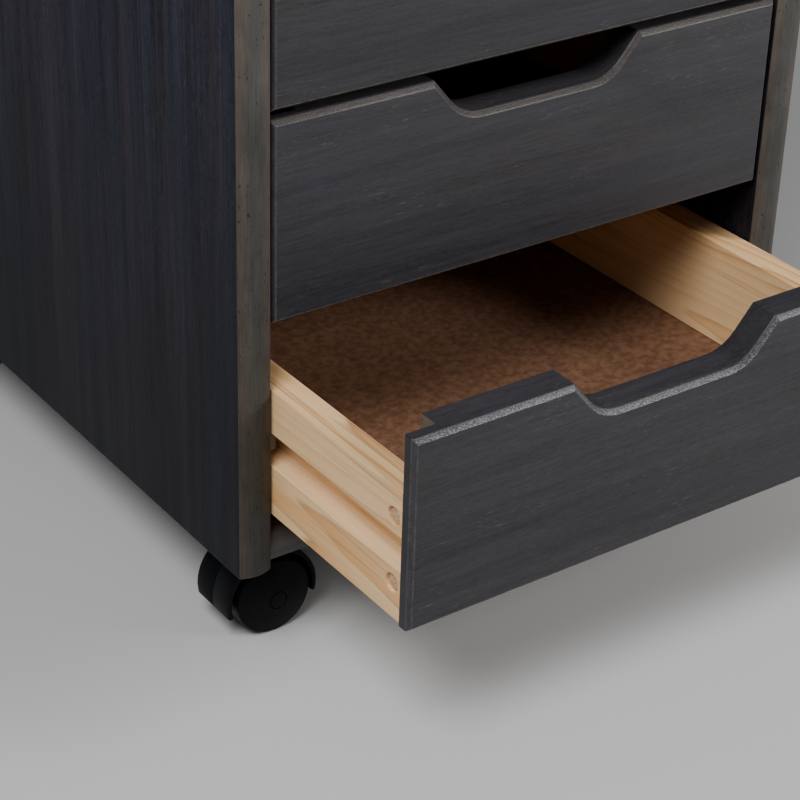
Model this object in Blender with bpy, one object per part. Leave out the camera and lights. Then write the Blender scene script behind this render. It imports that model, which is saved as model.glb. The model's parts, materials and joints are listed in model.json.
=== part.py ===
"""Rolling drawer cart in stained pine: two side panels joined by a bottom and a top board and closed by a
back panel, five boxed drawers that slide on grooved sides, and four hooded twin-wheel swivel casters.

Metres, +Z up. The drawers open towards -Y. The origin is on the floor, under the middle of the cart's
whole length with the bottom drawer pulled out, which is how the cart stands at rest.
"""

import math

import bmesh
import bpy
from mathutils import Matrix, Vector

MM = 0.001
GAP = 0.3 * MM  # play between pieces that touch
OVERRUN = 5 * MM  # how far a cutter runs past the wood it cuts

# Carcass
WIDTH = 338 * MM
DEPTH = 390 * MM
DRAWERS = 5
PANEL = 18 * MM  # thickness of the side panels, the top and the bottom board
CROWN = 2.4 * MM  # how far the middle of a side panel's front edge stands out
BACK_PANEL = 4 * MM
BACK_REBATE = 8 * MM  # how far the back panel laps onto each side panel
BOARD_NOSE = 7 * MM  # depth of the half-round front edge of the top and bottom boards
BOARD_SETBACK = 1.5 * MM

# Casters
LOAD_HEIGHT = 52 * MM
WHEEL_R = 21 * MM
WHEEL_WIDTH = 12 * MM
WHEEL_DOME = 4 * MM
WHEELS_APART = 10 * MM
AXLE_R = 2 * MM
STEM_R = 3 * MM
TRAIL = 14 * MM  # from the swivel axis to the axle
HOOD_R = 26.3 * MM
HOOD_WALL = 2.6 * MM
HOOD_SKIRT_DEG = 12  # how far each side of the hood runs below the axle
HOOD_WIDTH = 31 * MM
PLATE_SIDE = 38 * MM
PLATE_THICK = 2 * MM
PLATE_CORNER = 4 * MM
PLATE_HOLE_R = 2.3 * MM
PLATE_HOLE_AT = 14 * MM
STEM_FROM_SIDE = 44.4 * MM
STEM_FROM_FACE = 33 * MM

# Drawers
PITCH = 105 * MM
FRONT_HEIGHT = 101 * MM
FRONT_THICK = 18 * MM
FIRST_FRONT = 29 * MM  # lowest front above the foot of the side panels
END_PLAY = 1 * MM  # between each end of a front and the side panel
TOP_CHAMFER = 2.7 * MM
END_CHAMFER = 1.9 * MM
CHAMFER_DEPTH = 2.4 * MM
LIP = 7.5 * MM  # thickness of the front where it laps over the drawer side's end
CHEEK = 16.5 * MM  # from each end of a front to its thick middle, which stands between the sides
PULL_DEPTH = 20.4 * MM
PULL_FLAT = 33 * MM  # half of the straight bottom of the finger pull
PULL_R = 23.3 * MM
PULL_SLANT_DEG = 50
SIDE_THICK = 15.8 * MM
SIDE_HEIGHT = 68.8 * MM
BACK_THICK = 12 * MM
SIDE_RAISE = 1.4 * MM  # foot of a drawer side above the foot of its front
BOX_LENGTH = 360 * MM
GROOVE_LOW = 27 * MM
GROOVE_HIGH = 45.3 * MM
GROOVE_DEPTH = 12.2 * MM
SHEET_THICK = 3 * MM
SHEET_GROOVE_LOW = 8.8 * MM
SHEET_GROOVE_DEPTH = 5 * MM
PLUG_R = 4.8 * MM
PLUG_DEPTH = 5 * MM
PLUG_INSET = 6.2 * MM
PLUG_HEIGHTS = (18.6 * MM, 54 * MM)
OPEN_BY = 113 * MM  # how far the bottom drawer is pulled out at rest

# Runners
RUNNER_HIGH = 15.5 * MM
RUNNER_WIDE = 7.8 * MM
RUNNER_NOSE = 3 * MM
RUNNER_SETBACK = LIP + 0.5 * MM  # the nose stops the front just before its lip would touch
RUNNER_LENGTH = 360 * MM

# Places that follow from the sizes
FACE_Y = -(DEPTH - CROWN - OPEN_BY) / 2  # plane of the closed drawers' faces
REAR_Y = FACE_Y + DEPTH - CROWN
INSIDE = WIDTH - 2 * PANEL
FRONT_WIDTH = INSIDE - 2 * END_PLAY
PANEL_FOOT = LOAD_HEIGHT
TOP_Z = PANEL_FOOT + FIRST_FRONT + (DRAWERS - 1) * PITCH + FRONT_HEIGHT + (PITCH - FRONT_HEIGHT) + PANEL
BOARD_REAR = REAR_Y - BACK_PANEL - GAP
SHEET_GROOVE = SHEET_THICK + 2 * GAP
SIDE_OUT = FRONT_WIDTH / 2 - GAP  # outer face of a drawer side
SIDE_IN = SIDE_OUT - SIDE_THICK
SIDE_FRONT = LIP + GAP

STAINS = {
    "stained_panel": ((0.030, 0.032, 0.038), 0.45),
    "stained_front": ((0.045, 0.044, 0.046), 0.42),
    "natural_pine": ((0.62, 0.45, 0.28), 0.60),
    "brown_hardboard": ((0.055, 0.028, 0.017), 0.75),
    "stained_strip": ((0.10, 0.095, 0.11), 0.50),
    "black_plastic": ((0.012, 0.012, 0.014), 0.38),
}


def clear_scene():
    for old in list(bpy.data.objects):
        bpy.data.objects.remove(old, do_unlink=True)


def finish(name, colour, roughness, metallic=0.0):
    material = bpy.data.materials.new(name)
    material.use_nodes = True
    shader = material.node_tree.nodes["Principled BSDF"]
    shader.inputs["Base Color"].default_value = (*colour, 1)
    shader.inputs["Roughness"].default_value = roughness
    shader.inputs["Metallic"].default_value = metallic
    return material


def arc(centre, radius, start_deg, end_deg, steps):
    """Points on an arc in a plane, both ends included."""
    turns = (math.radians(start_deg + (end_deg - start_deg) * i / steps) for i in range(steps + 1))
    return [(centre[0] + radius * math.cos(a), centre[1] + radius * math.sin(a)) for a in turns]


def crowned_edge(width, rise, steps):
    """Points from (0, 0) to (width, 0) on the arc that stands out by rise towards -y in its middle."""
    radius = (width * width / 4 + rise * rise) / (2 * rise)
    half = math.degrees(math.asin(width / 2 / radius))
    return arc((width / 2, radius - rise), radius, 270 - half, 270 + half, steps)


def rectangle(low, high):
    return [(low[0], low[1]), (high[0], low[1]), (high[0], high[1]), (low[0], high[1])]


def prism(outline, low, high, along):
    """Mesh of a flat outline pushed from low to high along one axis. The outline's two numbers are the
    other two axes, in X, Y, Z order."""
    place = {
        "X": lambda u, v, w: (w, u, v),
        "Y": lambda u, v, w: (u, w, v),
        "Z": lambda u, v, w: (u, v, w),
    }[along]
    form = bmesh.new()
    face = form.faces.new([form.verts.new(place(u, v, low)) for u, v in outline])
    pushed = bmesh.ops.extrude_face_region(form, geom=[face])["geom"]
    shift = Vector(place(0, 0, high - low))
    bmesh.ops.translate(form, verts=[v for v in pushed if isinstance(v, bmesh.types.BMVert)], vec=shift)
    bmesh.ops.recalc_face_normals(form, faces=form.faces)
    return to_mesh(form)


def to_mesh(form):
    mesh = bpy.data.meshes.new("form")
    form.to_mesh(mesh)
    form.free()
    return mesh


def cylinder(radius, low, high, along, centre=(0, 0), sides=16):
    return prism(arc(centre, radius, 0, 360 - 360 / sides, sides - 1), low, high, along)


def lathe(profile, steps):
    """Mesh turned from (radius, y) points about the Y axis."""
    form = bmesh.new()
    points = [form.verts.new((radius, y, 0)) for radius, y in profile]
    edges = [form.edges.new(pair) for pair in zip(points, points[1:])]
    bmesh.ops.spin(
        form, geom=points + edges, axis=(0, 1, 0), cent=(0, 0, 0), steps=steps, angle=math.tau, use_merge=True
    )
    bmesh.ops.remove_doubles(form, verts=form.verts, dist=0.001 * MM)
    bmesh.ops.recalc_face_normals(form, faces=form.faces)
    return to_mesh(form)


def combine(body, cuts=(), joins=()):
    """The body's mesh with others joined to it and then others cut from it."""
    made = [bpy.data.objects.new("shape", mesh) for mesh in (body, *joins, *cuts)]
    for helper in made:
        bpy.context.collection.objects.link(helper)
    for order, helper in enumerate(made[1:]):
        step = made[0].modifiers.new("step", "BOOLEAN")
        step.operation = "UNION" if order < len(joins) else "DIFFERENCE"
        step.solver = "EXACT"
        step.object = helper
    graph = bpy.context.evaluated_depsgraph_get()
    mesh = bpy.data.meshes.new_from_object(made[0].evaluated_get(graph))
    for helper in made:
        bpy.data.objects.remove(helper, do_unlink=True)
    return mesh


def piece(name, mesh, material, parent=None, location=(0, 0, 0), smooth=False):
    """One sub-part. Pieces of the same kind share their mesh, which holds the material."""
    made = bpy.data.objects.new(name, mesh)
    bpy.context.collection.objects.link(made)
    if not mesh.materials:
        mesh.materials.append(material)
        if smooth:
            mesh.shade_smooth()
            mesh.set_sharp_from_angle(angle=math.radians(35))
    made.location = location
    made.parent = parent
    return made


def pivot(name, location, parent=None):
    """An empty that carries the pieces of one moving body."""
    made = bpy.data.objects.new(name, None)
    bpy.context.collection.objects.link(made)
    made.location = location
    made.parent = parent
    return made


def mirrored(outline):
    return [(-u, v) for u, v in outline]


# --- carcass ---------------------------------------------------------------------------------------


def side_panel_outline():
    """Plan of the left side panel: crowned front edge, and a rebate at the rear for the back panel."""
    left = -WIDTH / 2
    right = left + PANEL
    rebate_y = REAR_Y - BACK_PANEL
    front = [(left + u, FACE_Y + v) for u, v in crowned_edge(PANEL, CROWN, 8)]
    return front + [
        (right, rebate_y),
        (right - BACK_REBATE, rebate_y),
        (right - BACK_REBATE, REAR_Y),
        (left, REAR_Y),
    ]


def board_outline(foot):
    """Section of the top or bottom board from front to rear, with a half-round nose."""
    nose = [
        (FACE_Y + BOARD_SETBACK + BOARD_NOSE * (1 - math.cos(a)), foot + PANEL / 2 * (1 - math.sin(a)))
        for a in (math.radians(90 - 180 * i / 12) for i in range(13))
    ]
    return nose + [(BOARD_REAR, foot + PANEL), (BOARD_REAR, foot)]


def make_carcass(stains):
    panel = stains["stained_panel"]
    outline = side_panel_outline()
    piece("side_panel_left", prism(outline, PANEL_FOOT, TOP_Z, "Z"), panel)
    piece("side_panel_right", prism(mirrored(outline), PANEL_FOOT, TOP_Z, "Z"), panel)
    half = INSIDE / 2 - GAP
    piece("bottom_board", prism(board_outline(PANEL_FOOT), -half, half, "X"), panel)
    piece("top_board", prism(board_outline(TOP_Z - PANEL), -half, half, "X"), panel)
    lap = INSIDE / 2 + BACK_REBATE - GAP
    back = rectangle((-lap, PANEL_FOOT), (lap, TOP_Z))
    piece("back_panel", prism(back, REAR_Y - BACK_PANEL + GAP, REAR_Y, "Y"), panel)


def runner_outline():
    """Side view of a runner strip, with a rounded nose at its front end."""
    low = (RUNNER_NOSE, RUNNER_NOSE)
    high = (RUNNER_NOSE, RUNNER_HIGH - RUNNER_NOSE)
    nose = arc(high, RUNNER_NOSE, 90, 180, 5) + arc(low, RUNNER_NOSE, 180, 270, 5)
    return nose + [(RUNNER_LENGTH, 0), (RUNNER_LENGTH, RUNNER_HIGH)]


def front_foot(number):
    """Height of the foot of drawer number's front, from 1 at the bottom."""
    return PANEL_FOOT + FIRST_FRONT + (number - 1) * PITCH


def make_runners(stains):
    strip = stains["stained_strip"]
    wall = INSIDE / 2 - GAP
    strips = {
        "left": prism(runner_outline(), -wall, -wall + RUNNER_WIDE, "X"),
        "right": prism(runner_outline(), wall - RUNNER_WIDE, wall, "X"),
    }
    rise = SIDE_RAISE + GROOVE_HIGH - GAP - RUNNER_HIGH
    for number in range(1, DRAWERS + 1):
        place = (0, FACE_Y + RUNNER_SETBACK, front_foot(number) + rise)
        for side, mesh in strips.items():
            piece(f"runner_{side}_{number}", mesh, strip, location=place)


# --- drawers ---------------------------------------------------------------------------------------


def front_outline():
    """(points, widths): the front seen from -Y, anticlockwise from its lower left corner, and the
    chamfer's width along the edge that starts at each point."""
    half = FRONT_WIDTH / 2
    floor_z = FRONT_HEIGHT - PULL_DEPTH
    centre = (PULL_FLAT, floor_z + PULL_R)
    bend = arc(centre, PULL_R, 270 + PULL_SLANT_DEG, 270, 6)
    rise = FRONT_HEIGHT - bend[0][1]
    brow = (bend[0][0] + rise / math.tan(math.radians(PULL_SLANT_DEG)), FRONT_HEIGHT)
    pull = [brow] + bend
    points = [(-half, 0), (half, 0), (half, FRONT_HEIGHT)] + pull + mirrored(pull)[::-1]
    points.append((-half, FRONT_HEIGHT))
    widths = [END_CHAMFER, END_CHAMFER] + [TOP_CHAMFER] * (len(points) - 3) + [END_CHAMFER]
    return points, widths


def inset(points, widths):
    """The outline moved inwards, each edge by its own width, with mitred corners."""
    moved = []
    for i, corner in enumerate(points):
        here, before, after = (Vector(points[j % len(points)]) for j in (i, i - 1, i + 1))
        entering, leaving = (here - before).normalized(), (after - here).normalized()
        inward_a, inward_b = (Vector((-d.y, d.x)) for d in (entering, leaving))
        mitre = Matrix((inward_a, inward_b))
        if abs(mitre.determinant()) < 1e-6:
            moved.append(tuple(Vector(corner) + inward_b * widths[i]))
            continue
        moved.append(tuple(here + mitre.inverted() @ Vector((widths[i - 1], widths[i]))))
    return moved


def front_mesh():
    """Drawer front with its face at y 0, its foot at z 0 and its middle at x 0."""
    points, widths = front_outline()
    rings = ((inset(points, widths), 0), (points, CHAMFER_DEPTH), (points, FRONT_THICK))
    form = bmesh.new()
    loops = [[form.verts.new((x, y, z)) for x, z in ring] for ring, y in rings]
    form.faces.new(loops[0])
    form.faces.new(loops[-1])
    for near, far in zip(loops, loops[1:]):
        for i in range(len(points)):
            form.faces.new((near[i - 1], near[i], far[i], far[i - 1]))
    bmesh.ops.recalc_face_normals(form, faces=form.faces)
    half = FRONT_WIDTH / 2
    rebate = rectangle((half - CHEEK, LIP), (half + OVERRUN, FRONT_THICK + OVERRUN))
    ends = [prism(shape, -OVERRUN, FRONT_HEIGHT + OVERRUN, "Z") for shape in (rebate, mirrored(rebate))]
    low = SIDE_RAISE + SHEET_GROOVE_LOW
    slot = rectangle((FRONT_THICK - SHEET_GROOVE_DEPTH, low), (FRONT_THICK + OVERRUN, low + SHEET_GROOVE))
    return combine(to_mesh(form), cuts=ends + [prism(slot, -half, half, "X")])


def side_section():
    """Section of the right-hand drawer side: runner groove outside, sheet groove inside."""
    sheet_low, sheet_high = SHEET_GROOVE_LOW, SHEET_GROOVE_LOW + SHEET_GROOVE
    slot = SIDE_IN + SHEET_GROOVE_DEPTH
    groove = SIDE_OUT - GROOVE_DEPTH
    return [
        (SIDE_IN, 0),
        (SIDE_OUT, 0),
        (SIDE_OUT, GROOVE_LOW),
        (groove, GROOVE_LOW),
        (groove, GROOVE_HIGH),
        (SIDE_OUT, GROOVE_HIGH),
        (SIDE_OUT, SIDE_HEIGHT),
        (SIDE_IN, SIDE_HEIGHT),
        (SIDE_IN, sheet_high),
        (slot, sheet_high),
        (slot, sheet_low),
        (SIDE_IN, sheet_low),
    ]


def side_mesh(hand):
    """Drawer side with its foot at z 0; hand is 1 on the right and -1 on the left."""
    section = side_section() if hand > 0 else mirrored(side_section())
    ends = sorted((hand * (SIDE_OUT - PLUG_DEPTH), hand * (SIDE_OUT + OVERRUN)))
    bores = [
        cylinder(PLUG_R, *ends, "X", centre=(y, z))
        for y in (SIDE_FRONT + PLUG_INSET, BOX_LENGTH - PLUG_INSET)
        for z in PLUG_HEIGHTS
    ]
    return combine(prism(section, SIDE_FRONT, BOX_LENGTH, "Y"), cuts=bores)


def back_mesh():
    """Drawer back, which stands between the two sides, with the sheet's groove in its inner face."""
    low, high = SHEET_GROOVE_LOW, SHEET_GROOVE_LOW + SHEET_GROOVE
    inner = BOX_LENGTH - BACK_THICK
    section = [
        (inner, 0),
        (BOX_LENGTH, 0),
        (BOX_LENGTH, SIDE_HEIGHT),
        (inner, SIDE_HEIGHT),
        (inner, high),
        (inner + SHEET_GROOVE_DEPTH, high),
        (inner + SHEET_GROOVE_DEPTH, low),
        (inner, low),
    ]
    half = SIDE_IN - GAP
    return prism(section, -half, half, "X")


def sheet_mesh():
    """Thin bottom of a drawer, held in grooves on all four sides."""
    half = SIDE_IN + SHEET_GROOVE_DEPTH - 2 * GAP
    front = FRONT_THICK - SHEET_GROOVE_DEPTH + 2 * GAP
    rear = BOX_LENGTH - BACK_THICK + SHEET_GROOVE_DEPTH - 2 * GAP
    low = SHEET_GROOVE_LOW + GAP
    return prism(rectangle((-half, front), (half, rear)), low, low + SHEET_THICK, "Z")


def make_drawers(stains):
    raised = (0, 0, SIDE_RAISE)
    front, sheet, back = front_mesh(), sheet_mesh(), back_mesh()
    sides = {"left": side_mesh(-1), "right": side_mesh(1)}
    for number in range(1, DRAWERS + 1):
        out = OPEN_BY if number == 1 else 0
        body = pivot(f"drawer_{number}", (0, FACE_Y - out, front_foot(number)))
        piece(f"drawer_{number}_front", front, stains["stained_front"], body)
        for side, mesh in sides.items():
            piece(f"drawer_{number}_side_{side}", mesh, stains["natural_pine"], body, raised)
        piece(f"drawer_{number}_back", back, stains["natural_pine"], body, raised)
        piece(f"drawer_{number}_bottom", sheet, stains["brown_hardboard"], body, raised)


# --- casters: the swivel axis is x 0 and y 0, the floor is z 0 and the wheels trail towards -X ------


def plate_mesh():
    """Square fixing plate with four screw holes and the pin that the hood swivels on."""
    corner = PLATE_SIDE / 2 - PLATE_CORNER
    turns = ((1, 1, 0), (-1, 1, 90), (-1, -1, 180), (1, -1, 270))
    outline = [p for x, y, a in turns for p in arc((x * corner, y * corner), PLATE_CORNER, a, a + 90, 3)]
    top = LOAD_HEIGHT - GAP
    foot = WHEEL_R + 10 * MM
    pin = cylinder(STEM_R, foot, top - PLATE_THICK / 2, "Z")
    holes = [
        cylinder(PLATE_HOLE_R, top - PLATE_THICK - OVERRUN, top + OVERRUN, "Z", (x, y), 12)
        for x in (-PLATE_HOLE_AT, PLATE_HOLE_AT)
        for y in (-PLATE_HOLE_AT, PLATE_HOLE_AT)
    ]
    return combine(prism(outline, top - PLATE_THICK, top, "Z"), cuts=holes, joins=[pin])


def hood_mesh():
    """Half-round hood over both wheels, with a web between them that holds the axle and the pin."""
    axle = (-TRAIL, WHEEL_R)
    low, high = -HOOD_SKIRT_DEG, 180 + HOOD_SKIRT_DEG
    outline = arc(axle, HOOD_R, low, high, 22) + arc(axle, HOOD_R - HOOD_WALL, high, low, 22)
    shell = prism(outline, -HOOD_WIDTH / 2, HOOD_WIDTH / 2, "Y")
    boss_r = WHEELS_APART / 2 - GAP
    web_half = 1.5 * MM
    foot = -6 * MM
    web_outline = arc(axle, HOOD_R - HOOD_WALL / 2, 10, 170, 14)
    web_outline += [(axle[0] + foot, axle[1] + foot), (axle[0] - foot, axle[1] + foot)]
    web = prism(web_outline, -web_half, web_half, "Y")
    axle_boss = cylinder(5 * MM, -boss_r, boss_r, "Y", axle)
    collar_top = LOAD_HEIGHT - PLATE_THICK - 2 * GAP
    pin_boss = cylinder(boss_r, WHEEL_R + 7 * MM, collar_top, "Z", sides=20)
    pin_bore = cylinder(STEM_R + GAP, WHEEL_R + 9 * MM, collar_top + OVERRUN, "Z")
    axle_bore = cylinder(AXLE_R + GAP, -HOOD_WIDTH, HOOD_WIDTH, "Y", axle, 12)
    return combine(shell, cuts=[pin_bore, axle_bore], joins=[web, axle_boss, pin_boss])


def wheel_mesh():
    """Solid wheel about the Y axis: domed face towards -Y, rim at y 0, blind bore in the other face."""
    face_r = WHEEL_R - 1.5 * MM
    dome = [
        (face_r * math.sin(a), -WHEEL_DOME * (math.cos(a) - math.cos(math.pi / 3)) * 2)
        for a in (math.radians(60 * i / 5) for i in range(6))
    ]
    reach = math.sin(math.pi / 3)
    dome = [(r / reach, y) for r, y in dome]
    bore = AXLE_R + GAP
    return lathe(
        dome
        + [
            (WHEEL_R, 1.5 * MM),
            (WHEEL_R, WHEEL_WIDTH - 1 * MM),
            (WHEEL_R - 1 * MM, WHEEL_WIDTH),
            (bore, WHEEL_WIDTH),
            (bore, 3 * MM),
            (0, 3 * MM),
        ],
        28,
    )


def make_casters(stains):
    plastic = stains["black_plastic"]
    steel = finish("zinc_steel", (0.45, 0.45, 0.46), 0.35, 1.0)
    plate, hood, wheel = plate_mesh(), hood_mesh(), wheel_mesh()
    rim_y = WHEELS_APART / 2 + WHEEL_WIDTH
    half_axle = rim_y - 3.5 * MM
    axle = cylinder(AXLE_R, -half_axle, half_axle, "Y", sides=12)
    across, along = WIDTH / 2 - STEM_FROM_SIDE, STEM_FROM_FACE
    for end, y in (("front", FACE_Y + along), ("rear", REAR_Y - along)):
        for side, x in (("left", -across), ("right", across)):
            name = f"caster_{end}_{side}"
            piece(f"{name}_plate", plate, steel, location=(x, y, 0), smooth=True)
            swivel = pivot(f"{name}_swivel", (x, y, 0))
            piece(f"{name}_hood", hood, plastic, swivel, smooth=True)
            hub = (-TRAIL, 0, WHEEL_R)
            piece(f"{name}_axle", axle, steel, swivel, hub, smooth=True)
            near = piece(f"{name}_wheel_a", wheel, plastic, swivel, (-TRAIL, -rim_y, WHEEL_R), smooth=True)
            far = piece(f"{name}_wheel_b", wheel, plastic, swivel, (-TRAIL, rim_y, WHEEL_R))
            near.rotation_euler = (0, 0, 0)
            far.rotation_euler = (0, 0, math.pi)


def main():
    clear_scene()
    stains = {name: finish(name, colour, roughness) for name, (colour, roughness) in STAINS.items()}
    make_carcass(stains)
    make_runners(stains)
    make_drawers(stains)
    make_casters(stains)


main()
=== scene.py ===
"""The rolling drawer cart with its finishes: stained and lacquered pine outside, plain pine drawer boxes
with hardboard bottoms, moulded casters and their screws, on a pale studio floor."""

import json
import math

import bmesh
import bpy
from mathutils import Matrix, Vector


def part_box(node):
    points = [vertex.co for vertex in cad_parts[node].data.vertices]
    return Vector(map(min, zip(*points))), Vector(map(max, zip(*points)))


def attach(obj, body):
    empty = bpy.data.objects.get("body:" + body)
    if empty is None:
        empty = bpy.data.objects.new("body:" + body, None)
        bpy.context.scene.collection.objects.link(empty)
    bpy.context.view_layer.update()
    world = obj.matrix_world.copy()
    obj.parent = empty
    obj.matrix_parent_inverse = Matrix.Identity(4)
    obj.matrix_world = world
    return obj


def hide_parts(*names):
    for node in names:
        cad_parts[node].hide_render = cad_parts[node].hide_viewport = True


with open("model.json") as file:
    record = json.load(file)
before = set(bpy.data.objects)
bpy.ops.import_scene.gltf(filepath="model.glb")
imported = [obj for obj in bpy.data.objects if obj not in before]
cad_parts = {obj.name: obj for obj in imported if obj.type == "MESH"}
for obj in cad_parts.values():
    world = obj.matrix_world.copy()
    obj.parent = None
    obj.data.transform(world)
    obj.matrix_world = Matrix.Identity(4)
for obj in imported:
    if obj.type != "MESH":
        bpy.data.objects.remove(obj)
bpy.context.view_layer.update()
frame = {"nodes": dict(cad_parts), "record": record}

MM = 0.001
BODIES = frame["record"]["behaviour"]["bodies"]
BODY_OF = {node: body for body, nodes in BODIES.items() for node in nodes}
SLOT_OF = {row["node"]: row["material_slot"] for row in frame["record"]["subparts"]}
DRAWERS = sum(1 for body in BODIES if body.startswith("drawer_"))
CASTERS = [f"caster_{end}_{side}" for end in ("front", "rear") for side in ("left", "right")]

# Places and sizes that the finishes and the small pieces are laid out by, in metres
FACE_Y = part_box("drawer_2_front")[0].y  # plane of the closed drawers' faces
PANEL_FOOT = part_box("side_panel_left")[0].z
SIDE_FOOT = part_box("drawer_1_side_left")[0].z
SIDE_INNER_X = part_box("drawer_1_side_right")[0].x
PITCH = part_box("drawer_2_front")[0].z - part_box("drawer_1_front")[0].z
OPENED = (FACE_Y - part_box("drawer_1_front")[0].y) / MM  # how far the bottom drawer stands out
EDGE_MIDDLE = (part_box("side_panel_right")[0].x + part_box("side_panel_right")[1].x) / 2 / MM
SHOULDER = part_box("drawer_1_side_right")[0].x / MM - 0.3  # half the width of a front's thick middle


# --- nodes as expressions --------------------------------------------------------------------------


class Value:
    """An output socket that takes part in Python expressions; each sum or product adds its Math node."""

    def __init__(self, socket):
        self.socket = socket
        self.tree = socket.id_data

    def worked(self, operation, *terms):
        return node(self.tree, "ShaderNodeMath", {"operation": operation}, terms)

    def __add__(self, other):
        return self.worked("ADD", self, other)

    def __radd__(self, other):
        return self.worked("ADD", other, self)

    def __sub__(self, other):
        return self.worked("SUBTRACT", self, other)

    def __rsub__(self, other):
        return self.worked("SUBTRACT", other, self)

    def __mul__(self, other):
        return self.worked("MULTIPLY", self, other)

    def __rmul__(self, other):
        return self.worked("MULTIPLY", other, self)

    def __truediv__(self, other):
        return self.worked("DIVIDE", self, other)

    def __rtruediv__(self, other):
        return self.worked("DIVIDE", other, self)

    def __mod__(self, other):
        return self.worked("FLOORED_MODULO", self, other)

    def __abs__(self):
        return self.worked("ABSOLUTE", self)


def node(tree, kind, settings=None, sockets=(), output=0):
    """Adds one node. Its settings are set first, then each socket takes a number, a colour, a link or a
    list of links."""
    made = tree.nodes.new(kind)
    for name, setting in (settings or {}).items():
        if name == "stops":
            ramp = made.color_ramp
            while len(ramp.elements) < len(setting):
                ramp.elements.new(1)
            for element, (place, colour) in zip(ramp.elements, setting):
                element.position = place
                element.color = (*colour, 1)
        else:
            setattr(made, name, setting)
    for key, value in sockets.items() if isinstance(sockets, dict) else enumerate(sockets):
        if isinstance(value, (Value, list)):
            for part in value if isinstance(value, list) else [value]:
                tree.links.new(part.socket, made.inputs[key])
        else:
            made.inputs[key].default_value = value
    return Value(made.outputs[output])


def mixed(factor, first, second):
    """Colour that goes from first to second as factor goes from 0 to 1."""
    first, second = ((*c, 1) if isinstance(c, tuple) else c for c in (first, second))
    sockets = {"Factor": factor, 6: first, 7: second}
    return node(factor.tree, "ShaderNodeMix", {"data_type": "RGBA"}, sockets, 2)


def shaded(colour, amount):
    """The colour made darker or lighter by an amount that varies around 1."""
    grey = node(colour.tree, "ShaderNodeCombineXYZ", None, (amount, amount, amount))
    return node(colour.tree, "ShaderNodeVectorMath", {"operation": "MULTIPLY"}, (colour, grey))


def scaled(vector, factors):
    return node(vector.tree, "ShaderNodeVectorMath", {"operation": "MULTIPLY"}, (vector, factors))


def step(value, low, high):
    """0 below low, 1 above high and smooth between them; low may be the greater."""
    sockets = {"Value": value, "From Min": low, "From Max": high}
    return node(value.tree, "ShaderNodeMapRange", {"interpolation_type": "SMOOTHSTEP"}, sockets)


def noise(vector, scale, detail=2.0, roughness=0.5):
    sockets = {"Vector": vector, "Scale": scale, "Detail": detail, "Roughness": roughness}
    return node(vector.tree, "ShaderNodeTexNoise", None, sockets)


class Finish:
    """A material whose Principled shader is fed from expressions. Its coordinates are in millimetres."""

    def __init__(self, name, **constants):
        self.material = bpy.data.materials.new(name)
        self.material.use_nodes = True
        self.tree = self.material.node_tree
        self.shader = self.tree.nodes["Principled BSDF"]
        for socket, value in constants.items():
            self.shader.inputs[socket.replace("_", " ")].default_value = value
        place = node(self.tree, "ShaderNodeTexCoord", output="Object")
        self.place = scaled(place, (1 / MM, 1 / MM, 1 / MM))
        self.xyz = self.parts(self.place)

    def parts(self, vector):
        return [node(self.tree, "ShaderNodeSeparateXYZ", None, (vector,), axis) for axis in range(3)]

    def normal(self):
        """X, Y and Z parts of the face's direction."""
        return self.parts(node(self.tree, "ShaderNodeNewGeometry", output="True Normal"))

    def attribute(self, name):
        return node(self.tree, "ShaderNodeAttribute", {"attribute_name": name}, output="Fac")

    def along(self, axis, shrink):
        """Coordinates in which a pattern is drawn out along one axis, as wood is along its grain."""
        return scaled(self.place, tuple(1 / shrink if axis == name else 1.0 for name in "XYZ"))

    def feed(self, **values):
        for socket, value in values.items():
            self.tree.links.new(value.socket, self.shader.inputs[socket.replace("_", " ")])

    def bump(self, height, depth):
        """Raises the surface by height, from 0 to 1, times depth in metres."""
        sockets = {"Strength": 1.0, "Distance": depth, "Height": height}
        self.feed(Normal=node(self.tree, "ShaderNodeBump", None, sockets))


# --- finishes --------------------------------------------------------------------------------------

WORN = (0.135, 0.112, 0.090)  # bare wood where the stain has been rubbed through
PAINTED_GLINT_GREY = (0.185, 0.19, 0.21)  # painted highlight: glints of light off the thick lacquer on a chamfer

# The pith runs beside the board, at a height above a drawer side's foot and at a distance from the middle
# that depends on the axis across the board; the rings about it are RING apart. All in millimetres.
PITH_HEIGHT = 20.0
PITH_INWARD = {0: SIDE_INNER_X / MM - 14, 1: 180.0}
RING = 4.6
GROOVE_TOP = 45.3  # top of the groove in a drawer side, above its foot
PINE_PALE = (0.86, 0.575, 0.305)
PINE_MID = (0.81, 0.505, 0.245)
PINE_LATE = (0.68, 0.345, 0.125)
PINE_DARK = (0.42, 0.19, 0.065)
PINE_FLAME = (0.74, 0.36, 0.11)
# painted light: the pale cream laid on the lit ledge of a drawer side's groove
PINE_PAINTED_LIGHT = (0.95, 0.72, 0.45)


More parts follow.
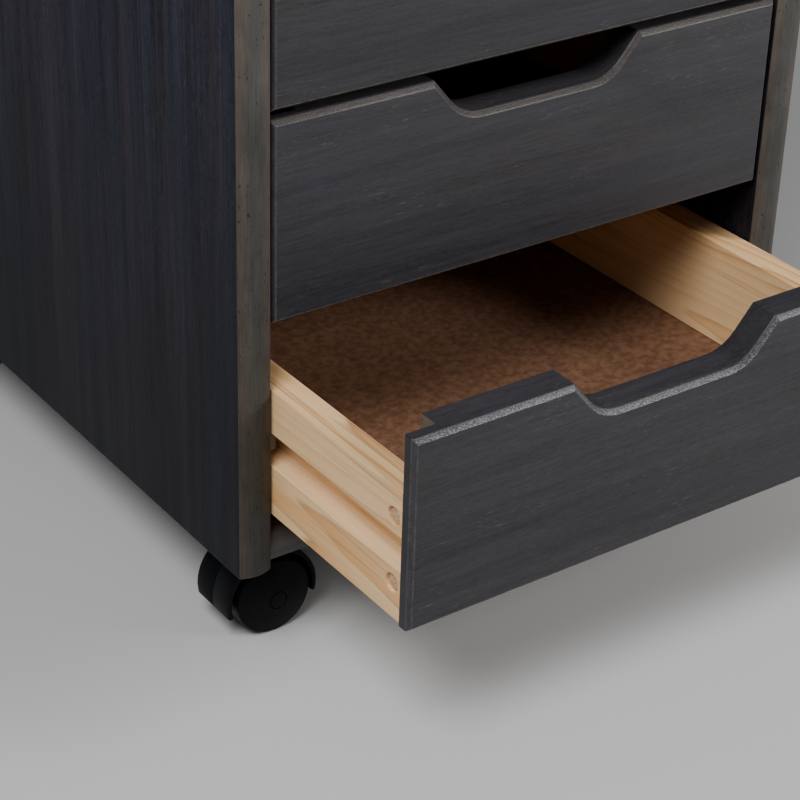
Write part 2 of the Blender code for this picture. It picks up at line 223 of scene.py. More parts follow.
def stained_wood(name, grain, cool, warm, contrast=1.0, sheen=0.5, shape=None):
    """Pine under a dark stain and satin lacquer. shape(finish, colour, roughness, height) may change
    how the stain lies on sawn and shaped edges, and may paint in shade and highlights."""
    finish = Finish(name, IOR=1.48, Specular_IOR_Level=sheen)
    bands = noise(finish.along(grain, 30), 0.11, 2.0, 0.5)
    streaks = noise(finish.along(grain, 45), 0.62, 3.0, 0.6)
    fibres = noise(finish.along(grain, 16), 1.3, 3.0, 0.65)
    clouds = noise(finish.place, 0.012, 2.0)
    tint = noise(finish.along(grain, 16), 0.075, 2.5, 0.55)
    colour = mixed(step(tint, 0.36, 0.66), cool, warm)
    grit = noise(finish.along(grain, 3.5), 1.1, 3.0, 0.7)
    grain_tone = 0.60 * bands + 0.55 * streaks + 0.85 * fibres + 0.70 * grit - 1.35
    colour = shaded(colour, 0.93 + contrast * grain_tone + 0.14 * clouds)
    specks = step(noise(finish.along(grain, 1.6), 1.1, 1.0), 0.72, 0.78)
    dashes = step(noise(finish.along(grain, 9), 1.3, 1.0), 0.67, 0.74)
    dashes = dashes * step(noise(finish.along(grain, 3), 0.05, 1.0), 0.52, 0.64)
    colour = mixed(specks * 0.22 + dashes * 0.34, colour, WORN)
    peel = noise(finish.place, 1.3, 1.5, 0.6)
    roughness = 0.38 + 0.22 * fibres
    height = 0.5 * fibres + 0.35 * streaks + 0.35 * peel + 0.5 * grit
    if shape:
        colour, roughness, height = shape(finish, colour, roughness, height)
    rub = finish.attribute("arris") * (0.35 + 0.9 * step(noise(finish.place, 0.35, 3.0), 0.30, 0.70))
    finish.feed(Base_Color=mixed(rub * 0.65, colour, WORN), Roughness=roughness)
    finish.bump(height, 0.00006)
    return finish.material


def crowned_edges(finish, colour, roughness, height):
    """The side panels' crowned front edges take the stain browner, with fine upright hairlines and small
    dark pits; the panels and their edges are painted darker towards the foot, as painted shade."""
    crown = step(finish.xyz[1], FACE_Y / MM + 0.25, FACE_Y / MM - 0.05)
    hairs = noise(finish.along("Z", 24), 1.1, 4.0, 0.65)
    blotches = noise(finish.along("Z", 2.6), 0.09, 3.0, 0.6)
    pits = step(noise(finish.along("Z", 2.0), 0.75, 1.5), 0.66, 0.74)
    from_middle = abs(abs(finish.xyz[0]) - EDGE_MIDDLE)
    tan = step(from_middle + 7 * (blotches - 0.5), 2.0, 7.5)
    edge = mixed(tan, (0.070, 0.068, 0.062), (0.094, 0.077, 0.064))
    edge = shaded(edge, (0.13 + 0.80 * blotches + 0.90 * hairs) * (1 - 0.55 * pits))
    foot, darkening_reach = PANEL_FOOT / MM, 420
    # Painted shade: colour darkened towards the panels' foot, standing in for the light falling off low
    # down
    painted_foot_shade = step(finish.xyz[2], foot + darkening_reach, foot)
    colour = mixed(crown, shaded(colour, 1 - 0.64 * painted_foot_shade), shaded(edge, 1 - 0.40 * painted_foot_shade))
    return colour, roughness - 0.04 * crown, height + crown * (0.4 * hairs - 0.7 * pits)


def chamfered_front(finish, colour, roughness, height):
    """The top chamfer of a drawer front is browner, under a thick coat with a coarse peel; on the bottom
    drawer the chamfer is painted with silvery glints and less brown, as a painted highlight. Its end
    chamfers are streaked and painted lighter, and faces that look up are painted lighter, as painted
    light; its sawn shoulders behind the lip are almost bare."""
    normal = finish.normal()
    tilted = step(normal[1], -0.25, -0.45) * step(normal[1], -0.96, -0.90)
    top = tilted * step(normal[2], 0.30, 0.45)
    end = tilted * step(abs(normal[0]), 0.30, 0.45)
    drops = noise(finish.place, 1.5, 2.0, 0.6)
    streaks = noise(finish.along("Z", 14), 0.9, 3.0, 0.6)
    fibres = noise(finish.along("X", 12), 1.2, 3.0, 0.6)
    tan = mixed(step(fibres, 0.30, 0.70), (0.034, 0.029, 0.026), (0.066, 0.053, 0.043))
    # Painted highlight: silvery glints in a band along the top chamfer, mostly on the bottom drawer, whose
    # chamfer brown is also thinned
    behind_face = (finish.xyz[1] - FACE_Y / MM) % OPENED
    bottom = step(finish.xyz[1], FACE_Y / MM - 10, FACE_Y / MM - 30)
    painted_glint = top * step(behind_face, 1.2 + 1.6 * bottom, 0.3) * (0.2 + 0.8 * bottom)
    painted_glint = painted_glint * step(noise(finish.along("X", 2.5), 2.4, 2.0), 0.42, 0.68)
    # Painted light: faces that look up are coloured a quarter lighter, as if lit from above
    colour = shaded(colour, 1 + 0.25 * step(normal[2], 0.80, 0.95))
    # Painted light: end chamfers coloured lighter beyond their real streaks; the bottom drawer's top
    # chamfer keeps less brown, part of its painted highlight
    colour = mixed((0.75 - 0.45 * bottom) * top, shaded(colour, 1 + end * (0.9 * streaks + 0.2)), tan)
    shoulder = step(abs(finish.xyz[0]), SHOULDER + 1.0, SHOULDER + 0.5) * step(abs(normal[0]), 0.9, 0.98)
    saw_marks = noise(finish.along("Y", 3), 0.7, 3.0, 0.6)
    sawn = shaded(mixed(saw_marks, (0.075, 0.056, 0.040), (0.17, 0.125, 0.088)), 0.85 + 0.3 * streaks)
    colour = mixed(shoulder, mixed(painted_glint, colour, PAINTED_GLINT_GREY), sawn)
    return colour, roughness - 0.10 * top + 0.15 * shoulder, height + 3.0 * top * drops


def pine(name, grain, along, across, height):
    """Flat-sawn pine. The growth rings are tilted cones about a pith that runs beside the board;
    along, across and height pick the board's own axes from the X, Y and Z coordinates."""
    finish = Finish(name, Roughness=0.50, IOR=1.45)
    sway = noise(finish.along(grain, 12), 0.030, 2.0)
    local = (finish.xyz[height] - SIDE_FOOT / MM) % (PITCH / MM)
    rise = local - PITH_HEIGHT + 34 * (sway - 0.5)
    inward = abs(finish.xyz[across]) - PITH_INWARD[across]
    radius = node(finish.tree, "ShaderNodeMath", {"operation": "SQRT"}, (rise * rise + inward * inward,))
    ring = (radius + 0.028 * finish.xyz[along] + 5 * noise(finish.along(grain, 20), 0.11, 2.0)) / RING
    stops = [(0.0, PINE_PALE), (0.45, PINE_MID), (0.80, PINE_LATE), (0.93, PINE_DARK), (1.0, PINE_PALE)]
    rings = node(finish.tree, "ShaderNodeValToRGB", {"stops": stops}, (ring % 1.0,))
    depth = step(noise(finish.along(grain, 30), 0.05, 2.0), 0.36, 0.66)
    colour = mixed(0.22 + 0.50 * depth, PINE_PALE, rings)
    flame = step(noise(finish.along(grain, 14), 0.062, 2.5, 0.5), 0.50, 0.62)
    low_half = step(local, GROOVE_TOP + 2, GROOVE_TOP - 6)
    colour = mixed((0.15 + 0.45 * low_half) * flame, colour, PINE_FLAME)
    lines = step(noise(finish.along(grain, 60), 0.42, 2.0, 0.5), 0.60, 0.68)
    colour = mixed(0.5 * lines, colour, PINE_DARK)
    fibres = noise(finish.along(grain, 26), 2.0, 3.0, 0.65)
    pores = step(noise(finish.along(grain, 14), 1.9, 1.0), 0.70, 0.78)
    colour = shaded(colour, 0.88 + 0.24 * fibres)
    # Painted light: the groove's upward-facing ledge is coloured paler cream, standing in for the light
    # falling on it
    painted_ledge_light = step(finish.normal()[2], 0.6, 0.95) * step(local, GROOVE_TOP, GROOVE_TOP - 3)
    colour = mixed(0.5 * painted_ledge_light, mixed(pores * 0.25, colour, PINE_DARK), PINE_PAINTED_LIGHT)
    finish.feed(Base_Color=colour)
    finish.bump(0.6 * fibres + 0.4 * (1 - pores), 0.00005)
    return finish.material


def plug_pine(name):
    """End grain of the plugs in the drawer sides."""
    finish = Finish(name, Roughness=0.65)
    grains = noise(finish.place, 1.4, 3.0, 0.7)
    rings = noise(finish.along("Y", 3), 0.35, 1.0)
    colour = mixed(step(grains, 0.32, 0.68), (0.34, 0.205, 0.105), (0.74, 0.52, 0.31))
    finish.feed(Base_Color=shaded(colour, 0.8 + 0.4 * rings))
    finish.bump(grains, 0.00025)
    return finish.material


def pressed_hardboard(name):
    finish = Finish(name, Roughness=0.72)
    clots = noise(finish.place, 0.24, 3.0, 0.6)
    hairs = noise(finish.along("X", 3), 0.9, 4.0, 0.75)
    specks = step(noise(finish.place, 1.3, 1.0), 0.66, 0.76)
    colour = mixed(step(clots, 0.3, 0.7), (0.130, 0.056, 0.027), (0.225, 0.112, 0.060))
    colour = shaded(colour, 0.45 + 1.10 * hairs)
    finish.feed(Base_Color=mixed(specks * 0.35, colour, (0.20, 0.12, 0.075)))
    finish.bump(hairs + 0.5 * clots, 0.00008)
    return finish.material


def stained_strip(name):
    """The runners: hard strip wood, stained grey and waxed."""
    finish = Finish(name, IOR=1.45)
    fibres = noise(finish.along("Y", 25), 1.6, 3.0, 0.6)
    colour = mixed(step(fibres, 0.3, 0.7), (0.120, 0.112, 0.132), (0.180, 0.168, 0.182))
    finish.feed(Base_Color=colour, Roughness=0.36 + 0.2 * fibres)
    finish.bump(fibres, 0.00004)
    return finish.material


def moulded_plastic(name, low, high):
    finish = Finish(name, IOR=1.5, Specular_IOR_Level=0.08)
    spark = noise(finish.place, 2.6, 1.0)
    haze = noise(finish.place, 0.09, 3.0, 0.6)
    colour = mixed(step(haze, 0.3, 0.7), low, high)
    dust = step(noise(finish.place, 0.8, 3.0, 0.7), 0.60, 0.74) * step(haze, 0.45, 0.7)
    finish.feed(Base_Color=mixed(dust * 0.3, colour, (0.05, 0.045, 0.04)))
    finish.feed(Roughness=0.36 + 0.10 * spark + 0.10 * haze)
    finish.bump(spark, 0.00003)
    return finish.material


def zinc(name, tint, roughness):
    finish = Finish(name, Metallic=1.0)
    spangle = node(finish.tree, "ShaderNodeTexVoronoi", None, {"Vector": finish.place, "Scale": 0.45}, 1)
    cloud = noise(finish.place, 0.35, 3.0, 0.6)
    pale = tuple(c * 1.25 for c in tint)
    colour = mixed(cloud, tint, pale)
    grey = node(finish.tree, "ShaderNodeSeparateColor", None, (spangle,))
    finish.feed(Base_Color=shaded(colour, 0.88 + 0.2 * grey), Roughness=roughness + 0.15 * cloud)
    finish.bump(cloud, 0.00003)
    return finish.material


FINISHES = {
    "side_panel": stained_wood(
        "side_panel_stain",
        "Z",
        cool=(0.0225, 0.0250, 0.0395),
        warm=(0.0355, 0.0310, 0.0430),
        contrast=2.5,
        sheen=0.12,
        shape=crowned_edges,
    ),
    "board": stained_wood("board_stain", "X", cool=(0.030, 0.028, 0.027), warm=(0.050, 0.043, 0.038)),
    "front": stained_wood(
        "drawer_front_stain",
        "X",
        cool=(0.0215, 0.0212, 0.0262),
        warm=(0.0256, 0.0232, 0.0256),
        contrast=1.3,
        sheen=0.32,
        shape=chamfered_front,
    ),
    "drawer_side": pine("drawer_side_pine", "Y", 1, 0, 2),
    "drawer_back": pine("drawer_back_pine", "X", 0, 1, 2),
    "plug": plug_pine("plug_end_grain"),
    "hardboard": pressed_hardboard("drawer_bottom_hardboard"),
    "runner": stained_strip("runner_strip"),
    "hood": moulded_plastic("caster_hood_plastic", (0.0024, 0.0027, 0.0042), (0.0045, 0.0048, 0.0070)),
    "wheel": moulded_plastic("caster_wheel_plastic", (0.0020, 0.0020, 0.0023), (0.0040, 0.0040, 0.0044)),
    "plate": zinc("caster_plate_zinc", (0.46, 0.46, 0.47), 0.34),
    "screw": zinc("screw_zinc", (0.50, 0.48, 0.42), 0.28),
}


def finish_for(node_name):
    for ending, kind in (
        ("side_panel_left", "side_panel"),
        ("side_panel_right", "side_panel"),
        ("_board", "board"),
        ("back_panel", "side_panel"),
        ("_front", "front"),
        ("_side_left", "drawer_side"),
        ("_side_right", "drawer_side"),
        ("_back", "drawer_back"),
        ("_bottom", "hardboard"),
        ("_plate", "plate"),
        ("_axle", "plate"),
    ):
        if node_name.endswith(ending):
            return FINISHES[kind]
    return FINISHES["runner"]


# --- solid pieces ----------------------------------------------------------------------------------


def link(name, mesh, finish):
    piece = bpy.data.objects.new(name, mesh)
    bpy.context.collection.objects.link(piece)
    mesh.materials.clear()
    mesh.materials.append(finish)
    return piece


def baked(piece):
    """Replaces a piece's mesh with what its modifiers make of it."""
    graph = bpy.context.evaluated_depsgraph_get()
    mesh = bpy.data.meshes.new_from_object(piece.evaluated_get(graph))
    piece.modifiers.clear()
    piece.data = mesh
    return mesh


def merged_copy(cad_name):
    """A copy of a CAD node's mesh with its triangles joined and its flat faces whole."""
    mesh = frame["nodes"][cad_name].data.copy()
    form = bmesh.new()
    form.from_mesh(mesh)
    bmesh.ops.remove_doubles(form, verts=form.verts, dist=0.005 * MM)
    bmesh.ops.dissolve_limit(form, angle_limit=math.radians(0.6), verts=form.verts, edges=form.edges)
    form.to_mesh(mesh)
    form.free()
    return mesh


def eased(cad_name, arris, suffix, smooth_deg=12.0):
    """Stands a copy of a CAD node in its place, with every hard edge eased by arris. The eased faces
    carry the attribute arris, so that a finish can wear there."""
    piece = link(f"{cad_name}_{suffix}", merged_copy(cad_name), finish_for(cad_name))
    piece.data.materials.append(finish_for(cad_name))
    bevel = piece.modifiers.new("ease", "BEVEL")
    bevel.width = arris
    bevel.segments = 2
    bevel.limit_method = "ANGLE"
    bevel.angle_limit = math.radians(22)
    bevel.material = 1
    mesh = baked(piece)
    low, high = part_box(cad_name)
    worn = mesh.attributes.new("arris", "FLOAT", "CORNER")
    for face in mesh.polygons:
        rubbed = rubbing(cad_name, face.center, low, high) if face.material_index == 1 else 0.0
        for corner in face.loop_indices:
            worn.data[corner].value = rubbed
        face.material_index = 0
    mesh.materials.pop()
    mesh.shade_smooth()
    mesh.set_sharp_from_angle(angle=math.radians(smooth_deg))
    placed(piece, cad_name)
    return piece


def rubbing(cad_name, spot, low, high):
    """How far knocks have worn the stain thin on an arris, from 0 to 1: along the foot of the side
    panels and of the drawer fronts, and less at the ends of the fronts."""
    if cad_name.startswith("side_panel"):
        return float(spot.z < low.z + 1 * MM)
    if cad_name.endswith("_front") and spot.y < low.y + 3 * MM:
        if spot.z < low.z + 2.5 * MM:
            return 1.0
        if min(spot.x - low.x, high.x - spot.x) < 2.5 * MM:
            return 0.45
    return 0.0


def placed(piece, cad_name):
    """The piece stands for the CAD node, which is hidden, and moves with its body."""
    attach(piece, BODY_OF[cad_name])
    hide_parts(cad_name)


def make_boards():
    ease_by = {
        "panel": ("planed", 0.5 * MM),
        "front": ("shaped", 0.45 * MM),
        "pine": ("sanded", 0.35 * MM),
        "hardboard": ("cut", 0.15 * MM),
        "strip": ("planed", 0.4 * MM),
        "steel": ("pressed", 0.2 * MM),
    }
    for cad_name, kind in SLOT_OF.items():
        if kind in ease_by:
            suffix, arris = ease_by[kind]
            eased(cad_name, arris, suffix, 40.0 if kind == "steel" else 12.0)


def turned(profile, steps):
    """Mesh turned about the Y axis from (radius, y) points; a radius of 0 closes it."""
    form = bmesh.new()
    points = [form.verts.new((radius, y, 0)) for radius, y in profile]
    edges = [form.edges.new(pair) for pair in zip(points, points[1:])]
    about = {"axis": (0, 1, 0), "cent": (0, 0, 0), "angle": math.tau}
    bmesh.ops.spin(form, geom=points + edges, steps=steps, use_merge=True, **about)
    bmesh.ops.remove_doubles(form, verts=form.verts, dist=0.002 * MM)
    bmesh.ops.recalc_face_normals(form, faces=form.faces)
    mesh = bpy.data.meshes.new("turned")
    form.to_mesh(mesh)
    form.free()
    return mesh


def quarter(centre, radius, start_deg, end_deg, steps):
    turns = (math.radians(start_deg + (end_deg - start_deg) * i / steps) for i in range(steps + 1))
    return [(centre[0] + radius * math.cos(a), centre[1] + radius * math.sin(a)) for a in turns]


def wheel_profile(radius, width, dome):
    """Half section of a caster wheel from the middle of its outer face: hub cap, ring groove, domed
    face, rounded rim, tread and blind bore."""
    cap_r, cap_proud, groove, rim_r = 4.7 * MM, 0.05 * MM, 0.6 * MM, 1.6 * MM
    face_r = radius - rim_r
    curve_r = (face_r**2 + dome**2) / (2 * dome)

    def face_y(r):
        return curve_r - math.sqrt(curve_r**2 - r**2)

    cap = [(cap_r * i / 5, face_y(cap_r * i / 5) + cap_proud) for i in range(5)]
    ring = [
        (cap_r - 0.25 * MM, face_y(cap_r) + cap_proud),
        (cap_r, face_y(cap_r) + groove * 0.6),
        (cap_r + 0.12 * MM, face_y(cap_r) + groove),
        (cap_r + 0.26 * MM, face_y(cap_r) + groove * 0.6),
        (cap_r + 0.5 * MM, face_y(cap_r + 0.5 * MM)),
    ]
    start = cap_r + 0.5 * MM
    spread = [start + (face_r - start) * i / 9 for i in range(1, 10)]
    face = [(r, face_y(r)) for r in spread]
    rim = quarter((face_r, dome + rim_r), rim_r, -70, 0, 5)
    back_r = 1.0 * MM
    back = quarter((radius - back_r, width - back_r), back_r, 0, 90, 4)
    bore = 2.3 * MM
    inner = [(bore, width), (bore, width * 0.45), (0, width * 0.45)]
    return cap + ring + face + rim + back + inner


def make_wheels():
    shape = None
    for caster in CASTERS:
        for mark, way in (("a", 1), ("b", -1)):
            cad_name = f"{caster}_wheel_{mark}"
            low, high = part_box(cad_name)
            if shape is None:
                profile = wheel_profile((high.z - low.z) / 2, high.y - low.y, 4.0 * MM)
                shape = turned(profile, 72)
                shape.shade_smooth()
                shape.set_sharp_from_angle(angle=math.radians(50))
            mesh = shape.copy()
            turn = Matrix.Rotation(0 if way > 0 else math.pi, 4, "Z")
            outer_y = low.y if way > 0 else high.y
            centre = (low + high) / 2
            mesh.transform(Matrix.Translation((centre.x, outer_y, centre.z)) @ turn)
            placed(link(f"{cad_name}_moulded", mesh, FINISHES["wheel"]), cad_name)


def swept(section, centre, start_deg, end_deg, steps):
    """Closed mesh of a (radius, y) outline swept about a centre line along Y."""
    form = bmesh.new()
    rings = []
    for i in range(steps + 1):
        a = math.radians(start_deg + (end_deg - start_deg) * i / steps)
        turned_out = [(r * math.cos(a), y, r * math.sin(a)) for r, y in section]
        rings.append([form.verts.new(centre + Vector(place)) for place in turned_out])
    for near, far in zip(rings, rings[1:]):
        for i in range(len(section)):
            form.faces.new((near[i - 1], near[i], far[i], far[i - 1]))
    form.faces.new(rings[0])
    form.faces.new(rings[-1])
    bmesh.ops.recalc_face_normals(form, faces=form.faces)
    mesh = bpy.data.meshes.new("swept")
    form.to_mesh(mesh)
    form.free()
    return mesh


def hood_section(inner, outer, half_width):
    """Outline of the hood's wall with rounded rims and a fine parting line round its middle."""
    round_r = (outer - inner) / 2 - 0.01 * MM
    middle = (inner + outer) / 2
    right = [(middle + x, half_width - round_r + y) for x, y in quarter((0, 0), round_r, 0, 180, 8)]
    left = [(middle + x, -half_width + round_r + y) for x, y in quarter((0, 0), round_r, 180, 360, 8)]
    floor, half_mouth, half_floor = outer - 0.22 * MM, 0.35 * MM, 0.05 * MM
    notch = [(outer, -half_mouth), (floor, -half_floor), (floor, half_floor), (outer, half_mouth)]
    return right + left + notch


def extruded(outline, low, high):
    """Closed mesh of an (x, z) outline pushed from low to high along Y."""
    form = bmesh.new()
    near, far = ([form.verts.new((x, y, z)) for x, z in outline] for y in (low, high))
    form.faces.new(near)
    form.faces.new(far)
    for i in range(len(outline)):
        form.faces.new((near[i - 1], near[i], far[i], far[i - 1]))
    bmesh.ops.recalc_face_normals(form, faces=form.faces)
    mesh = bpy.data.meshes.new("extruded")
    form.to_mesh(mesh)
    form.free()
    return mesh


def spool(radius, low, high, ease, centre, upright=False):
    """Cylinder with eased rims along Y, or along Z if upright."""
    profile = [(0, low), (radius - ease, low), (radius, low + ease)]
    profile += [(radius, high - ease), (radius - ease, high), (0, high)]
    mesh = turned(profile, 32)
    turn = Matrix.Rotation(math.radians(90 if upright else 0), 4, "X")
    mesh.transform(Matrix.Translation(centre) @ turn)
    return mesh


def fused(body, joins, cuts):
    """The body's mesh with others joined to it and then others cut from it."""
    made = [link("shape", mesh, FINISHES["hood"]) for mesh in (body, *joins, *cuts)]
    for order, helper in enumerate(made[1:]):
        cut = made[0].modifiers.new("cut", "BOOLEAN")
        cut.operation = "UNION" if order < len(joins) else "DIFFERENCE"
        cut.solver = "EXACT"
        cut.object = helper
    mesh = baked(made[0])
    for helper in made:
        bpy.data.objects.remove(helper, do_unlink=True)
    return mesh


def make_hoods():
    """Casters' hoods: a shell over both wheels, a web between them, a boss for the axle and a collar
    for the pin of the plate."""
    wall, web_half, play, ease = 2.6 * MM, 1.5 * MM, 0.3 * MM, 0.4 * MM
    collar_r, axle_boss_r, pin_r, axle_r = 4.7 * MM, 5 * MM, 3 * MM, 2 * MM
    for caster in CASTERS:
        cad_name = f"{caster}_hood"
        low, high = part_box(cad_name)
        hub_low, hub_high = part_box(f"{caster}_axle")
        hub = (hub_low + hub_high) / 2
        plate_low, plate_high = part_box(f"{caster}_plate")
        pin = (plate_low + plate_high) / 2
        outer = (high.x - low.x) / 2
        skirt = math.degrees(math.asin((hub.z - low.z) / outer))
        section = hood_section(outer - wall, outer, (high.y - low.y) / 2)
        shell = swept(section, hub, -skirt, 180 + skirt, 56)
        lid = quarter((hub.x, hub.z), outer - wall / 2, 10, 170, 30)
        foot = [(hub.x - 6 * MM, hub.z - 6 * MM), (hub.x + 6 * MM, hub.z - 6 * MM)]
        web = extruded(lid + foot, hub.y - web_half, hub.y + web_half)
        axle_boss = spool(axle_boss_r, -collar_r, collar_r, ease, hub)
        pin_low = hub.z + 7 * MM
        height = high.z - pin_low
        collar_middle = (pin.x, pin.y, high.z - height / 2)
        collar = spool(collar_r, -height / 2, height / 2, ease, collar_middle, True)
        bore_middle = (pin.x, pin.y, pin_low + 2 * MM + height)
        pin_bore = spool(pin_r + play, -height, height, 0.1 * MM, bore_middle, True)
        axle_bore = spool(axle_r + play, -outer, outer, 0.1 * MM, hub)
        mesh = fused(shell, [web, axle_boss, collar], [pin_bore, axle_bore])
        mesh.shade_smooth()
        mesh.set_sharp_from_angle(angle=math.radians(40))
        placed(link(f"{cad_name}_moulded", mesh, FINISHES["hood"]), cad_name)


# --- plugs, screws and nails -----------------------------------------------------------------------

HEAD_INPUTS = {
    "Points": "Geometry",
    "Radius": "Float",
    "Height": "Float",
    "Rounding": "Float",
    "Cross": "Float",
    "Crossed": "Bool",
    "Sides": "Int",
    "Seed": "Int",
    "Finish": "Material",
}


def head_tree():
    """Geometry nodes that stand a round head on every point, facing along the point's facing vector and
    turned about it at random, with or without a cross cut in its top."""
    tree = bpy.data.node_groups.new("round_heads", "GeometryNodeTree")
    for name, kind in HEAD_INPUTS.items():
        tree.interface.new_socket(name, in_out="INPUT", socket_type=f"NodeSocket{kind}")
    tree.interface.new_socket("Heads", in_out="OUTPUT", socket_type="NodeSocketGeometry")
    entry = tree.nodes.new("NodeGroupInput")
    given = {name: Value(entry.outputs[name]) for name in HEAD_INPUTS}
    radius, rounding = given["Radius"], given["Rounding"]
    circle = {"Vertices": given["Sides"], "Radius": radius}
    disc = node(tree, "GeometryNodeMeshCircle", {"fill_type": "NGON"}, circle)
    base = node(tree, "GeometryNodeFlipFaces", None, {"Mesh": disc})
    pushed = node(
        tree, "GeometryNodeExtrudeMesh", None, {"Mesh": disc, "Offset Scale": given["Height"] - rounding}
    )
    top, width = Value(pushed.socket.node.outputs["Top"]), radius
    for start, end in ((0, 30), (30, 60), (60, 85)):
        climb = math.sin(math.radians(end)) - math.sin(math.radians(start))
        rise = {"Mesh": pushed, "Selection": top, "Offset Scale": rounding * climb}
        pushed = node(tree, "GeometryNodeExtrudeMesh", None, rise)
        top = Value(pushed.socket.node.outputs["Top"])
        narrower = radius - rounding * (1 - math.cos(math.radians(end)))
        shrink = {"Geometry": pushed, "Selection": top, "Scale": narrower / width}
        pushed = node(tree, "GeometryNodeScaleElements", {"domain": "FACE"}, shrink)
        width = narrower
    closed = node(tree, "GeometryNodeJoinGeometry", None, {"Geometry": [pushed, base]})
    closed = node(tree, "GeometryNodeMergeByDistance", None, {"Geometry": closed, "Distance": 0.00001})
    bars = []
    for turn in (0, 90):
        size = node(
            tree, "ShaderNodeCombineXYZ", None, (given["Cross"], given["Cross"] * 0.24, given["Height"])
        )
        bar = node(tree, "GeometryNodeMeshCube", None, {"Size": size})
        up = node(tree, "ShaderNodeCombineXYZ", None, (0.0, 0.0, given["Height"]))
        stand = {"Geometry": bar, "Translation": up, "Rotation": (0, 0, math.radians(turn))}
        bars.append(node(tree, "GeometryNodeTransform", None, stand))
    cut = {"Mesh 1": closed, "Mesh 2": bars}
    crossed = node(tree, "GeometryNodeMeshBoolean", {"operation": "DIFFERENCE", "solver": "EXACT"}, cut)
    choice = {"Switch": given["Crossed"], "False": closed, "True": crossed}
    head = node(tree, "GeometryNodeSwitch", {"input_type": "GEOMETRY"}, choice)
    vector = {"data_type": "FLOAT_VECTOR"}
    facing = node(tree, "GeometryNodeInputNamedAttribute", vector, {"Name": "facing"})
    turn = node(tree, "FunctionNodeAlignRotationToVector", {"axis": "Z"}, {"Vector": facing})
    angle = {2: 0.0, 3: math.tau, "Seed": given["Seed"]}
    twist = node(tree, "FunctionNodeRandomValue", {"data_type": "FLOAT"}, angle, 1)
    twist = node(tree, "FunctionNodeAxisAngleToRotation", None, {"Axis": (0, 0, 1), "Angle": twist})
    twisted = {"Rotation": turn, "Rotate By": twist}
    turn = node(tree, "FunctionNodeRotateRotation", {"rotation_space": "LOCAL"}, twisted)
    heads = {"Points": given["Points"], "Instance": head, "Rotation": turn}
    heads = node(tree, "GeometryNodeInstanceOnPoints", None, heads)
    heads = node(tree, "GeometryNodeRealizeInstances", None, {"Geometry": heads})
    heads = node(tree, "GeometryNodeSetMaterial", None, {"Geometry": heads, "Material": given["Finish"]})
    tree.links.new(heads.socket, tree.nodes.new("NodeGroupOutput").inputs["Heads"])
    return tree


def stand_heads(name, body, slot, spots, finish, **sizes):
    """Stands a head on each (place, facing) and keeps them as one plain mesh that rides on the body."""
    mesh = bpy.data.meshes.new(name)
    mesh.from_pydata([place for place, _ in spots], [], [])
    facing = mesh.attributes.new("facing", "FLOAT_VECTOR", "POINT")
    for point, (_, way) in zip(facing.data, spots):
        point.vector = way
    piece = bpy.data.objects.new(name, mesh)
    bpy.context.collection.objects.link(piece)
    grown = piece.modifiers.new("heads", "NODES")
    grown.node_group = HEADS
    values = {key.capitalize(): value for key, value in sizes.items()}
    values.update({"Seed": 7, "Finish": FINISHES[finish]})
    for socket in HEADS.interface.items_tree:
        if socket.in_out == "INPUT" and socket.name in values:
            grown[socket.identifier] = values[socket.name]
    mesh = baked(piece)
    mesh.shade_smooth()
    mesh.set_sharp_from_angle(angle=math.radians(50))
    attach(piece, body)


def make_plugs():
    """Plugs over the fixings at both ends of every drawer side, a little below its face."""
    bore_floor, inset, heights = 4.95 * MM, 6.2 * MM, (18.6 * MM, 54 * MM)
    for number in range(1, DRAWERS + 1):
        spots = []
        for side, way in (("left", -1), ("right", 1)):
            low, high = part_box(f"drawer_{number}_side_{side}")
            face_x = low.x if way < 0 else high.x
            for y in (low.y + inset, high.y - inset):
                spots += [((face_x - way * bore_floor, y, low.z + z), (way, 0, 0)) for z in heights]
        sizes = {"radius": 4.55 * MM, "height": 3.3 * MM, "rounding": 0.25 * MM, "sides": 28}
        stand_heads(f"drawer_{number}_plugs", f"drawer_{number}", "pine", spots, "plug", **sizes)


def make_screws():
    """Pan-head screws through the runners and the caster plates."""
    spots = []
    for number in range(1, DRAWERS + 1):
        for side, way in (("left", 1), ("right", -1)):
            low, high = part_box(f"runner_{side}_{number}")
            face_x = high.x if way > 0 else low.x
            middle = (low.z + high.z) / 2
            for share in (0.08, 0.5, 0.92):
                spots.append(((face_x, low.y + share * (high.y - low.y), middle), (way, 0, 0)))
    sizes = {"radius": 3.4 * MM, "height": 1.3 * MM, "rounding": 0.9 * MM, "cross": 3.4 * MM}
    stand_heads("runner_screws", "carcass", "steel", spots, "screw", crossed=True, sides=24, **sizes)
    spots = []
    for caster in CASTERS:
        low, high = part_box(f"{caster}_plate")
        middle, under, apart = (low + high) / 2, high.z - 2 * MM, 14 * MM
        corners = [(x, y) for x in (-apart, apart) for y in (-apart, apart)]
        spots += [((middle.x + x, middle.y + y, under), (0, 0, -1)) for x, y in corners]
    sizes = {"radius": 3.8 * MM, "height": 1.2 * MM, "rounding": 0.9 * MM, "cross": 4.0 * MM}
    stand_heads("caster_screws", "carcass", "steel", spots, "screw", crossed=True, sides=24, **sizes)


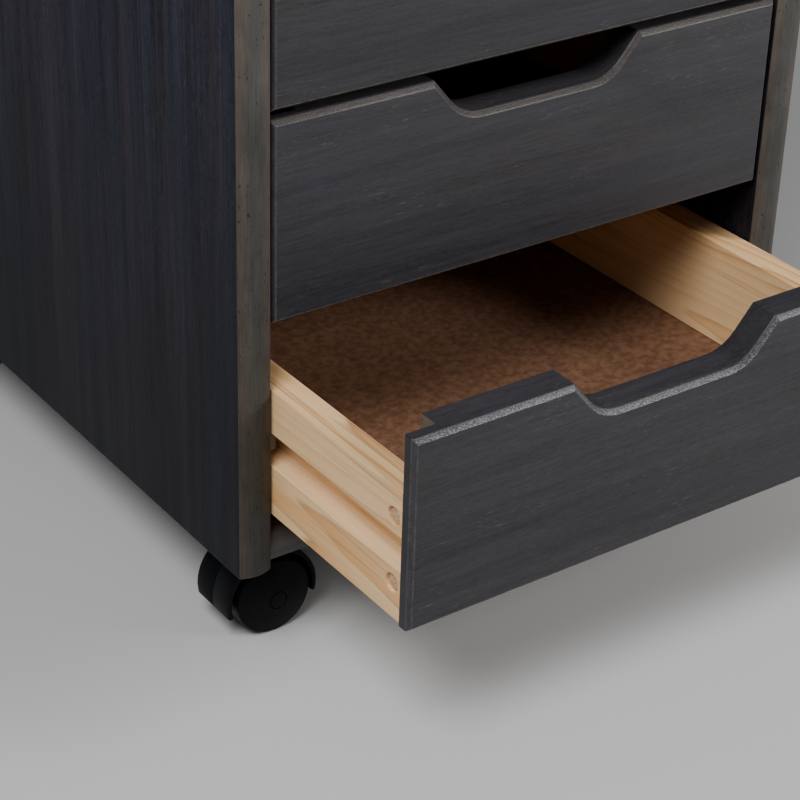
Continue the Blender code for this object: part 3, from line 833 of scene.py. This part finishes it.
def make_nails():
    """Flat nail heads round the rim of the back panel, driven almost flush. The panel's outer face is
    planed down by the height of a head, so that the heads don't add to the cart's depth."""
    low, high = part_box("back_panel")
    edge, board, head, buried = 4 * MM, 9 * MM, 0.2 * MM, 0.1 * MM
    for point in bpy.data.objects["back_panel_planed"].data.vertices:
        if point.co.y > high.y - 2 * MM:
            point.co.y -= head
    nail_y = high.y - head - buried
    gaps_up, gaps_across = 6, 4
    rows = [low.z + board + i * (high.z - low.z - 2 * board) / gaps_up for i in range(gaps_up + 1)]
    spots = [((x, nail_y, z), (0, 1, 0)) for z in rows for x in (low.x + edge, high.x - edge)]
    columns = [low.x + edge + i * (high.x - low.x - 2 * edge) / gaps_across for i in range(1, gaps_across)]
    spots += [((x, nail_y, z), (0, 1, 0)) for x in columns for z in (rows[0], rows[-1])]
    sizes = {"radius": 1.8 * MM, "height": head + buried - 0.02 * MM, "rounding": 0.1 * MM}
    stand_heads("back_panel_nails", "carcass", "steel", spots, "screw", sides=16, **sizes)


def stage():
    floor = bpy.data.meshes.new("studio_floor")
    form = bmesh.new()
    bmesh.ops.create_grid(form, x_segments=1, y_segments=1, size=6)
    form.to_mesh(floor)
    form.free()
    pale = Finish("studio_floor_paint", Roughness=0.8)
    pale.shader.inputs["Base Color"].default_value = (0.55, 0.55, 0.55, 1)
    ground = bpy.data.objects.new("studio_floor", floor)
    bpy.context.collection.objects.link(ground)
    ground.data.materials.append(pale.material)


def softbox(name, towards, distance, width, height, power):
    """An oblong area light that looks at the drawers from a direction."""
    lamp = bpy.data.lights.new(name, "AREA")
    lamp.shape = "RECTANGLE"
    lamp.size, lamp.size_y = width, height
    lamp.energy = power
    holder = bpy.data.objects.new(name, lamp)
    bpy.context.collection.objects.link(holder)
    aim = Vector((0, FACE_Y, 0.25))
    away = Vector(towards).normalized()
    holder.location = aim + away * distance
    holder.rotation_euler = (-away).to_track_quat("-Z", "Y").to_euler()


def light():
    world = bpy.data.worlds.new("studio")
    bpy.context.scene.world = world
    world.use_nodes = True
    backdrop = world.node_tree.nodes["Background"]
    backdrop.inputs["Color"].default_value = (0.95, 0.97, 1.0, 1)
    backdrop.inputs["Strength"].default_value = 0.13
    softbox("right_softbox", (0.66, -0.69, 0.32), distance=1.9, width=0.5, height=0.6, power=31)
    softbox("left_softbox", (-0.57, -0.30, 0.77), distance=2.0, width=0.9, height=0.9, power=40)


def camera():
    """The viewpoint: from the front left and above, with a long lens."""
    place = (-0.6407, -0.9130, 0.6815)
    heading, tilt, roll = (math.radians(d) for d in (-36.04, 90 - 30.17, 1.84))
    lens = bpy.data.cameras.new("view")
    lens.sensor_width = 36
    lens.lens = 102.1
    holder = bpy.data.objects.new("view", lens)
    bpy.context.collection.objects.link(holder)
    turn = Matrix.Rotation(heading, 4, "Z") @ Matrix.Rotation(tilt, 4, "X") @ Matrix.Rotation(roll, 4, "Z")
    holder.matrix_world = Matrix.Translation(place) @ turn
    bpy.context.scene.camera = holder


make_boards()
make_wheels()
make_hoods()
HEADS = head_tree()
make_plugs()
make_screws()
make_nails()
stage()
light()
camera()
